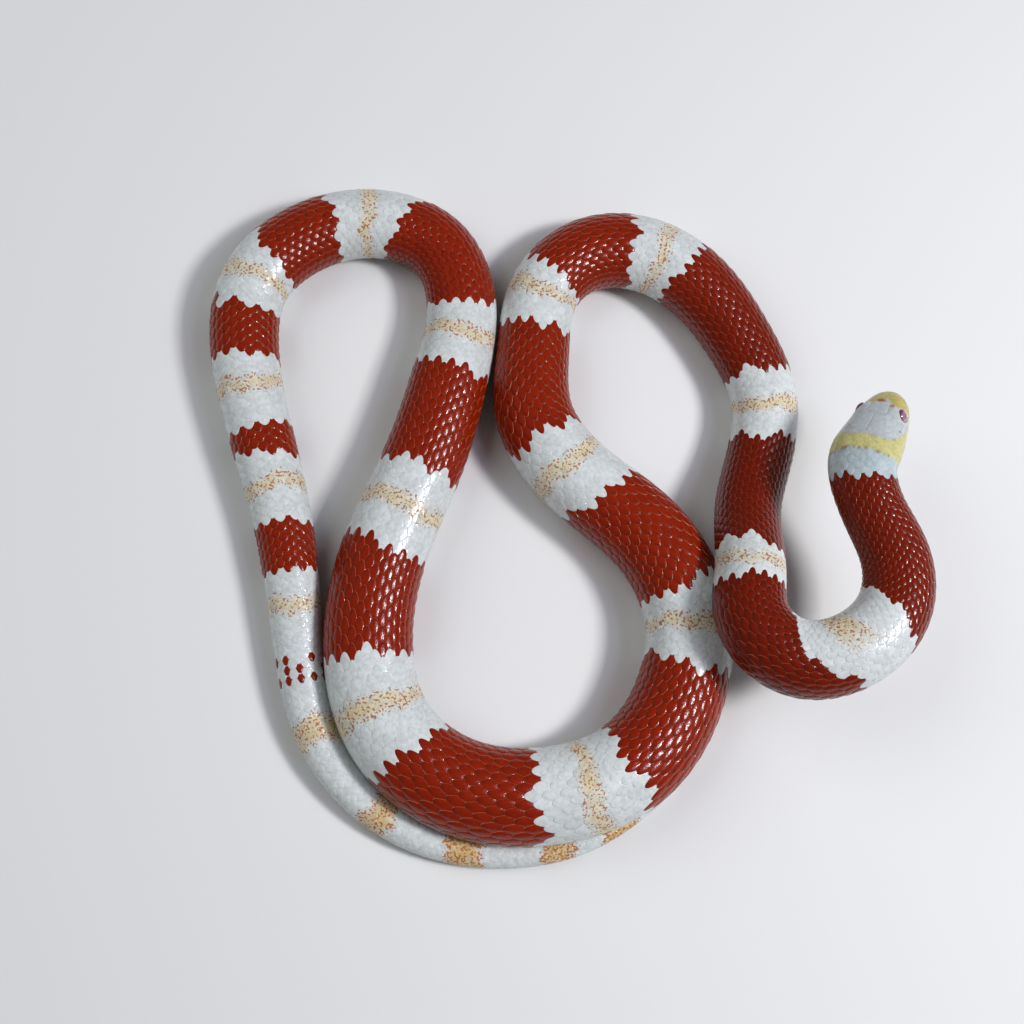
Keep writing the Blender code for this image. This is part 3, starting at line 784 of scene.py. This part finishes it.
SCALE_RIM = {"thickness": 0.036, "depth": 0.06}
SCALE_SLOPE = {"thickness": 0.16, "depth": 0.12}
SCALE_CROWN = 0.045
RIM_BELOW = 0.01
FULL_SIZE_FROM = 2.1
THINNEST = 0.3
WHITE_FLATNESS = 0.33
RED_STRETCH = 1.05
WHITE_STRETCH = 1.2
SCATTERED_SIZE = 0.85
SCATTERED_SHARE = 0.7
TONE_SPREAD = 0.12
CREAM_LOW = 0.55
PITCH_STEP = 0.1
SEED = 7
rng = np.random.default_rng(SEED)

# The scales' colours in linear light: brick red with a darker tip, and cream, which turns to
# tan towards the tail's tip.
RED = np.array((0.220, 0.0115, 0.0010))
RED_TIP = np.array((0.135, 0.0075, 0.0010))
CREAM = np.array((0.62, 0.54, 0.34))
TAIL_TAN = np.array((0.56, 0.38, 0.15))
# A scatter of single red scales stands at the start of the white tail.
SCATTER = (793.0, 801.5)
# How bright the red is along the body, deeper on the fore body than from mid-body on.
RED_TONE_S = (0.0, 50.0, 145.0, 200.0, 245.0)
RED_TONE = (0.62, 0.70, 0.58, 0.72, 1.0)
# The flecks stand thicker on the tail, and along the cream's edges than between them.
FIRST_FLECK_SIDE = (-0.3, 0.1)
FIRST_FLECKS = 0.55
FIRST_FLECK_REACH = 4.5
TRUNK_FLECKS = 0.60
TAIL_FLECKS = 0.65
TAIL_FLECKS_GROW = (790.0, 890.0)
INNER_FLECKS = 0.6
FLECK_EDGE = 0.8
FLECK_CLUMPS = 0.35


def fleckiness(s, t):
    """How thickly brown flecks stand, from 0 up."""
    flecks = np.zeros_like(s)
    for number, (middle, reach) in enumerate(cream_bands()):
        if number == 0:
            off = np.abs(s - middle + FIRST_SLANT * t)
            share = FIRST_FLECKS * np.exp(-(off / FIRST_FLECK_REACH) ** 4)
            share *= 1 - smooth(t, *FIRST_FLECK_SIDE)
        else:
            off = np.abs(s - middle + stray(s, t))
            clumps = np.sin(17.0 * t + 1.7 * middle) * np.sin(41.0 * t + 0.9 * s)
            strength = TRUNK_FLECKS + TAIL_FLECKS * smooth(middle, *TAIL_FLECKS_GROW)
            edge = np.exp(-((off - reach) / FLECK_EDGE) ** 2)
            share = strength * (1 + FLECK_CLUMPS * clumps)
            share *= np.maximum(INNER_FLECKS * (off < reach), edge)
        flecks = np.maximum(flecks, share)
    return flecks


def red_tone(s):
    """How bright the red is at each s."""
    return np.interp(s, RED_TONE_S, RED_TONE)


def from_table(table, s):
    """A size read between the rows of a table of places and sizes."""
    return np.interp(s, [row[0] for row in table], [row[1] for row in table])


def pitch(s):
    """The way from one scale to the next in its row."""
    return from_table(PITCH, s)


def row_spacing(s):
    """The way from the middle row to the next."""
    return half_width(s) * from_table(ROW_WIDTH, s)


def row_width(k):
    """How wide row k is against the middle one. The rows grow towards the belly."""
    return 1 + ROW_GROWTH * (k / ROWS_EACH_SIDE) ** 2


def pitches_from(start):
    """Places along the body, with the count of pitches before each, and the whole count."""
    at = np.arange(start, SCALES_TO, PITCH_STEP)
    count = np.concatenate(([0.0], np.cumsum(PITCH_STEP / pitch(at))))
    return at, count[:-1], count[-1]


pitch_s, pitch_count, _ = pitches_from(SCALES_FROM)
rows_out = np.array([sum(row_width(j) for j in range(1, k + 1)) for k in range(ROWS_EACH_SIDE + 1)])


# One scale: x in pitches along it, y in row spacings across it, z its height in mm.
bpy.ops.object.select_all(action="DESELECT")
bpy.ops.mesh.primitive_circle_add(vertices=len(SCALE_OUTLINE), radius=0.5, fill_type="NGON")
one_scale = bpy.context.active_object
for point, (u, v) in zip(one_scale.data.vertices, SCALE_OUTLINE):
    point.co = (u, v, 0.0)
bpy.ops.object.mode_set(mode="EDIT")
bpy.ops.mesh.select_mode(type="FACE")
bpy.ops.mesh.select_all(action="SELECT")
bpy.ops.mesh.inset(**SCALE_RIM)
bpy.ops.mesh.inset(**SCALE_SLOPE)
bpy.ops.mesh.poke(offset=SCALE_CROWN)


def finish_pattern(item, foot):
    """Closes an open pattern piece below. Gives its points and faces, and takes it away."""
    bpy.ops.mesh.select_mode(type="EDGE")
    bpy.ops.mesh.select_all(action="DESELECT")
    bpy.ops.mesh.select_non_manifold()
    bpy.ops.mesh.extrude_region_move(TRANSFORM_OT_translate={"value": (0.0, 0.0, -foot)})
    bpy.ops.mesh.edge_face_add()
    bpy.ops.mesh.select_all(action="SELECT")
    bpy.ops.mesh.normals_make_consistent(inside=False)
    bpy.ops.object.mode_set(mode="OBJECT")
    points = np.array([v.co for v in item.data.vertices])
    faces = [tuple(f.vertices) for f in item.data.polygons]
    bpy.data.objects.remove(item, do_unlink=True)
    return points, faces


scale_points, scale_faces = finish_pattern(one_scale, SCALE_FOOT)
scale_rim = scale_points[:, 2] < RIM_BELOW


def lay_copies(name, faces, per_piece, places, colours, flecks, maps):
    """One mesh of many copies of a pattern piece, with their colours and bake map."""
    copies = len(places) // per_piece
    sides = np.array([len(face) for face in faces])
    loops = np.concatenate([np.array(face) for face in faces])
    all_loops = (loops[None, :] + per_piece * np.arange(copies)[:, None]).ravel()
    all_sides = np.tile(sides, copies)
    starts = np.concatenate(([0], np.cumsum(all_sides)[:-1]))
    mesh = bpy.data.meshes.new(name)
    mesh.vertices.add(len(places))
    mesh.vertices.foreach_set("co", places.astype(np.float32).ravel())
    mesh.loops.add(len(all_loops))
    mesh.loops.foreach_set("vertex_index", all_loops.astype(np.int32))
    mesh.polygons.add(len(all_sides))
    mesh.polygons.foreach_set("loop_start", starts.astype(np.int32))
    mesh.update(calc_edges=True)
    made = bpy.data.objects.new(name, mesh)
    bpy.context.scene.collection.objects.link(made)
    mesh.shade_smooth()
    paint(made, colours, flecks)
    lay_map(made, maps[all_loops, 0], maps[all_loops, 1])
    return made


def in_strips(middle, at, first, last, strips):
    """The strip of the bake's map that a copy lies in, and places along that strip."""
    strip_long = (last - first) / strips
    strip = np.floor((middle - first) / strip_long)
    return strip, 0.02 + 0.96 * np.clip((at - first - strip * strip_long) / strip_long, 0, 1)


SCALE_TIP = (0.18, 0.5)
TIP_SHARE = 0.75
RIM_TONE = 0.4
TAN_FROM = (800.0, 870.0)
COLLAR_SCALES_END = COLLAR_END + 4


def scale_colours(s, t, red, u, rim, cream_share):
    """The colour of each point of the scales, from where it stands on its scale."""
    rim = rim[:, None]
    tone = red_tone(s)[:, None]
    cream = creaminess(s, t) * cream_share
    crimson = blend(RED, RED_TIP, TIP_SHARE * smooth(u, *SCALE_TIP))
    crimson = np.where(rim, RED_RIM * tone ** RIM_TONE, crimson * tone)
    pale = blend(blend(WHITE, CREAM, cream), TAIL_TAN, cream * smooth(s, *TAN_FROM))
    # The rims of pale scales take the white rim, painted lighter than the white as painted light
    # against the shade between scales.
    pale = np.where(rim, blend(WHITE_RIM_PAINTED_LIGHT, CREAM_RIM, cream), pale)
    colour = np.where(red[:, None], crimson, pale)
    collar = (s < COLLAR_SCALES_END) & ~red
    colour[collar] = head_colour(s[collar], t[collar])
    return colour


# Where the scales stand: alternate rows are half a pitch apart, as bricks in a wall are.
scale_s, scale_row, scale_hand = [], [], []
for k in range(ROWS_EACH_SIDE + 1):
    for hand in ((1,) if k == 0 else (1, -1)):
        counts = np.arange(0.5 if k % 2 else 0.0, pitch_count[-1], 1.0)
        middles = np.interp(counts, pitch_count, pitch_s)
        out = row_spacing(middles) * rows_out[k] / girth(middles)
        middles = middles[out < BELLY_EDGE]
        scale_s.append(middles)
        scale_row.append(np.full(len(middles), k))
        scale_hand.append(np.full(len(middles), hand))
scale_s = np.concatenate(scale_s)
scale_row = np.concatenate(scale_row)
scale_hand = np.concatenate(scale_hand)
order = np.argsort(scale_s)
scale_s, scale_row, scale_hand = scale_s[order], scale_row[order], scale_hand[order]
scale_t = scale_hand * row_spacing(scale_s) * rows_out[scale_row] / girth(scale_s)
scale_tone = 1 + TONE_SPREAD * (rng.random(len(scale_s)) - 0.5)
scale_cream = CREAM_LOW + (1 - CREAM_LOW) * rng.random(len(scale_s))
scale_red = is_red(scale_s + rng.normal(0.0, 0.17, len(scale_s)) * pitch(scale_s), scale_t)
scattered = (scale_s > SCATTER[0]) & (scale_s < SCATTER[1]) & (scale_row % 2 == 0)
scattered &= rng.random(len(scale_s)) < SCATTERED_SHARE
scale_red |= scattered
scale_size = np.where(scattered, SCATTERED_SIZE, 1.0)

SCALE_PIECES = 4
MAP_STRIPS = 3
MAP_OVERLAP = 4.0
gloss = skin_finish("glossy_scales", 0.34, 2100.0, 1.0, 0.62, 0.06)


def lay_scales(name, chosen):
    """Some of the scales as one piece, each one bent to the body under it."""
    def each(values):
        return np.repeat(values[chosen], len(scale_points))

    u, v, height = (np.tile(column, len(chosen)) for column in scale_points.T)
    rim = np.tile(scale_rim, len(chosen))
    red = each(scale_red)
    middle_s, middle_t = each(scale_s), each(scale_t)
    s = np.clip(middle_s + u * each(pitch(scale_s) * scale_size), 0.0, BODY_LENGTH - 0.1)
    spacing = row_spacing(s)
    wide = spacing * row_width(each(scale_row))
    v = v * np.where(red, RED_STRETCH, WHITE_STRETCH) * each(scale_size)
    t = (each(scale_hand) * spacing * rows_out[each(scale_row)] + v * wide) / girth(s)
    thin = np.clip(spacing / FULL_SIZE_FROM, THINNEST, 1.0)
    flat = np.where(red, 1.0, WHITE_FLATNESS)
    raised = height * np.where(height > 0, flat, 1.0) + SCALE_TILT * (u - 0.5) * flat - SCALE_SUNK
    colours = scale_colours(s, t, red, u, rim, each(scale_cream)) * each(scale_tone)[:, None]
    flecks = np.where(red, 0.0, fleckiness(s, t))
    shrink = np.where(rim, 0.95, 0.86)
    first, last = scale_s[chosen[0]] - MAP_OVERLAP, scale_s[chosen[-1]] + MAP_OVERLAP
    map_s = middle_s + u * each(pitch(scale_s)) * shrink
    strip, map_x = in_strips(middle_s, map_s, first, last, MAP_STRIPS)
    map_y = (strip + 0.5 + 0.49 * (middle_t + (t - middle_t) * shrink) / 0.8) / MAP_STRIPS
    made = lay_copies(name, scale_faces, len(scale_points), place(s, t, raised * thin),
                      colours, flecks, np.stack((map_x, map_y), axis=1))
    made.data.materials.append(gloss)
    return made


for number, chosen in enumerate(np.array_split(np.arange(len(scale_s)), SCALE_PIECES), 1):
    scales = lay_scales("scales_%d" % number, chosen)
    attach(scales, "root")

# The belly's plates.
# One broad smooth plate crosses the belly for each row of scales, and two narrow ones lie side
# by side under the tail. They are thin castings, set in the skin with the rear edges free, and
# the animal rests on them.
PLATE_EDGE = 0.70
PLATE_FOOT = 0.20
PLATE_TILT = 0.10
PLATE_SUNK = 0.01
PLATE_EDGE_LOW = -0.02
PLATE_LAP = 0.06
PLATE_CURVE = 0.16
PLATE_TIP = (0.3, 0.55)
PLATE_RED = RED * np.array((1.3, 2.6, 3.0))
PLATE_RIM_SHARE = 0.35
PLATE_CREAM = 0.8
PLATE_STRIPS = 4
FULL_PLATE_FROM = 3
THINNEST_PLATE = 0.2
VENT = 805.0
BELLY_FROM = 15.5
BELLY_COLUMNS = 12
TAIL_COLUMNS = 5


def plate_pattern(columns):
    """A plate: x in pitches along it, y from one edge at -1 to the other at 1."""
    bpy.ops.object.select_all(action="DESELECT")
    bpy.ops.mesh.primitive_grid_add(x_subdivisions=2, y_subdivisions=columns, size=2.0)
    made = bpy.context.active_object
    for point in made.data.vertices:
        x, y = point.co.x, point.co.y
        rear = (PLATE_LAP - PLATE_CURVE * y ** 4) * (x > 0.5)
        point.co = (x * 0.5 + rear, y, PLATE_EDGE_LOW if abs(x) > 0.9 else 0.0)
    bpy.ops.object.mode_set(mode="EDIT")
    return finish_pattern(made, PLATE_FOOT)


def belly_plates(name, shape, middles, left, right):
    """Plates that reach across the belly between two places of the outline."""
    points, faces = shape
    copies = len(middles)
    centre = np.repeat(middles, len(points))
    u = np.tile(points[:, 0], copies)
    v = np.tile(points[:, 1], copies)
    s = np.clip(centre + u * pitch(centre), 0.0, BODY_LENGTH - 0.1)
    t = 0.5 * (left + right) + 0.5 * (right - left) * v
    raised = np.tile(points[:, 2], copies) + PLATE_TILT * (u - 0.5 - PLATE_LAP) - PLATE_SUNK
    raised *= np.clip(half_width(s) / FULL_PLATE_FROM, THINNEST_PLATE, 1)
    red = np.repeat(is_red(middles, np.zeros(copies)), len(points))
    ground = blend(WHITE, CREAM, PLATE_CREAM * creaminess(s, np.zeros_like(s)))
    tip = smooth(u, *PLATE_TIP)
    crimson = blend(PLATE_RED, RED_RIM, PLATE_RIM_SHARE * tip)
    crimson *= red_tone(s)[:, None] ** 0.5
    # The pale plates' rear edges take the white rim, painted lighter than the white as painted
    # light.
    colours = np.where(red[:, None], crimson, blend(ground, WHITE_RIM_PAINTED_LIGHT, tip))
    first, last = middles[0] - MAP_OVERLAP, middles[-1] + MAP_OVERLAP
    map_s = centre + u * pitch(centre) * 0.88
    strip, map_x = in_strips(centre, map_s, first, last, PLATE_STRIPS)
    map_y = (strip + 0.5 + 0.45 * (t - 1) / 0.32) / PLATE_STRIPS
    made = lay_copies(name, faces, len(points), place(s, t, raised), colours, 0 * s,
                      np.stack((map_x, map_y), axis=1))
    made.data.materials.append(plate_gloss)
    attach(made, "root")


plate_gloss = skin_finish("belly_gloss", 0.30, 2200.0, 0.3, 0.1, 0.4)
belly_at, belly_count, belly_all = pitches_from(BELLY_FROM)
belly_s = np.interp(np.arange(0.0, belly_all, 1.0), belly_count, belly_at)
trunk_s = belly_s[belly_s < VENT]
tail_s = belly_s[belly_s >= VENT]
half_plate = plate_pattern(TAIL_COLUMNS)
belly_plates("belly_plates", plate_pattern(BELLY_COLUMNS), trunk_s, PLATE_EDGE, 2 - PLATE_EDGE)
belly_plates("tail_plates_right", half_plate, tail_s, PLATE_EDGE, 1.0)
belly_plates("tail_plates_left", half_plate, tail_s + 0.5 * pitch(tail_s), 1.0, 2 - PLATE_EDGE)

# The eyes.
# Each is a glass eye under a clear spectacle: a pinkish violet iris, a round ruby pupil and
# a darker rim. It is set in its socket, inside the raised ring of small shields.
BALL_RADIUS = 1.97
BALL_HALF_DEPTH = 1.15
PUPIL_EDGE = (0.68, 0.90)
IRIS_EDGE = (1.45, 1.7)
IRIS = np.array((0.30, 0.135, 0.22))
IRIS_STREAK = np.array((0.42, 0.24, 0.30))
PUPIL_RUBY = np.array((0.10, 0.012, 0.03))
IRIS_RIM = np.array((0.16, 0.05, 0.08))
EYE_FORWARD = radians(10.0)
EYE_UP = radians(8.0)

eye_glass = bpy.data.materials.new("violet_eye")
eye_glass.use_nodes = True
shader = eye_glass.node_tree.nodes["Principled BSDF"]
iris = eye_glass.node_tree.nodes.new("ShaderNodeAttribute")
iris.attribute_name = "coat_colour"
eye_glass.node_tree.links.new(iris.outputs["Color"], shader.inputs["Base Color"])
shader.inputs["Roughness"].default_value = 0.12
shader.inputs["Coat Weight"].default_value = 1.0
shader.inputs["Coat Roughness"].default_value = 0.03
shader.inputs["IOR"].default_value = 1.42


def eye_ways(hand):
    """The ways ahead, up and outwards of the eye on the right, 1, or the left, -1."""
    _, back, right, up, _ = body_frame(np.array([1.0]))
    out = hand * right[0] - back[0] * np.tan(EYE_FORWARD) + up[0] * np.tan(EYE_UP)
    out /= np.linalg.norm(out)
    ahead = np.cross(up[0], out)
    ahead /= np.linalg.norm(ahead)
    return ahead, np.cross(out, ahead), out


def iris_colours(unit):
    """Violet streaks round a ruby pupil, over the points of a ball that looks along Z."""
    off_axis = np.hypot(unit[:, 0], unit[:, 1]) * BALL_RADIUS
    around = np.arctan2(unit[:, 1], unit[:, 0])
    streaks = 0.5 + 0.5 * np.sin(17 * around + 3 * np.sin(5 * around))
    colour = blend(IRIS, IRIS_STREAK, 0.5 * streaks)
    colour = blend(colour, PUPIL_RUBY, 1 - smooth(off_axis, *PUPIL_EDGE))
    return blend(colour, IRIS_RIM, smooth(off_axis, *IRIS_EDGE))


for hand, side in ((1, "right"), (-1, "left")):
    bpy.ops.object.select_all(action="DESELECT")
    bpy.ops.mesh.primitive_uv_sphere_add(segments=48, ring_count=32, radius=1.0)
    eye = bpy.context.active_object
    eye.name = "glass_eye_" + side
    eye.data.name = eye.name
    low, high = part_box("eye_" + side)
    unit = np.array([v.co for v in eye.data.vertices])
    ahead, upward, out = eye_ways(hand)
    flat = (unit[:, :1] * ahead + unit[:, 1:2] * upward) * BALL_RADIUS
    ball = flat + unit[:, 2:] * out * BALL_HALF_DEPTH
    eye.data.vertices.foreach_set("co", (np.array((low + high) * 0.5) + ball * MM).ravel())
    paint(eye, iris_colours(unit), np.zeros(len(unit)))
    bpy.ops.object.mode_set(mode="EDIT")
    bpy.ops.mesh.select_all(action="SELECT")
    bpy.ops.mesh.normals_make_consistent(inside=False)
    bpy.ops.object.mode_set(mode="OBJECT")
    bpy.ops.object.shade_smooth()
    eye.data.materials.clear()
    eye.data.materials.append(eye_glass)
    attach(eye, "root")
    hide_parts("eye_" + side)

# The floor, the light and the camera.
# A plain pale sweep under soft studio light, with the camera above the animal as in the
# photograph. The low fill gives no glints, so that they all come from one side.
FLOOR_SIZE = 3.0
FLOOR_PAPER = (0.72, 0.73, 0.725, 1.0)
SKY = (1.0, 0.98, 0.94, 1.0)
SKY_STRENGTH = 0.10

bpy.ops.object.select_all(action="DESELECT")
bpy.ops.mesh.primitive_plane_add(size=FLOOR_SIZE, location=(0.0, 0.0, 0.0))
floor = bpy.context.active_object
floor.name = "floor"
paper = bpy.data.materials.new("pale_paper")
paper.use_nodes = True
shader = paper.node_tree.nodes["Principled BSDF"]
shader.inputs["Base Color"].default_value = FLOOR_PAPER
shader.inputs["Roughness"].default_value = 0.85
floor.data.materials.append(paper)


def soft_light(name, at, size, power, colour, shines=True):
    """A square soft box aimed at the middle of the floor."""
    data = bpy.data.lights.new(name, "AREA")
    data.shape = "SQUARE"
    data.size = size
    data.energy = power
    data.color = colour
    made = bpy.data.objects.new(name, data)
    made.location = at
    made.rotation_euler = (-Vector(at)).to_track_quat("-Z", "Y").to_euler()
    made.visible_glossy = shines
    bpy.context.scene.collection.objects.link(made)


soft_light("key_light", (0.56, -0.09, 0.70), 0.15, 5.8, (1.0, 0.985, 0.96))
soft_light("sheen_light", (0.50, -0.05, 0.74), 0.42, 2.4, (0.72, 0.74, 1.0))
soft_light("fill_light", (-0.60, 0.25, 0.70), 0.70, 3.3, (0.97, 0.98, 1.0), shines=False)
world = bpy.data.worlds.new("studio")
world.use_nodes = True
world.node_tree.nodes["Background"].inputs["Color"].default_value = SKY
world.node_tree.nodes["Background"].inputs["Strength"].default_value = SKY_STRENGTH
bpy.context.scene.world = world
bpy.context.scene.view_settings.view_transform = "Standard"

CAMERA_AT = Vector((-0.03273, -0.08195, 0.34879))
CAMERA_TARGET = Vector((-0.0110, -0.00084, 0.0120))
SENSOR = 36.0
FOCAL_PIXELS = 1300.0
PHOTO_PIXELS = 1024.0

camera_data = bpy.data.cameras.new("camera")
camera_data.sensor_width = SENSOR
camera_data.lens = SENSOR * FOCAL_PIXELS / PHOTO_PIXELS
camera = bpy.data.objects.new("camera", camera_data)
camera.location = CAMERA_AT
forward = (CAMERA_TARGET - CAMERA_AT).normalized()
right = forward.cross(Vector((0.0, 1.0, 0.0))).normalized()
turn = np.array((right, right.cross(forward), -forward)).T
camera.rotation_euler = Matrix(turn.tolist()).to_euler()
bpy.context.scene.collection.objects.link(camera)
bpy.context.scene.camera = camera

bpy.context.view_layer.update()
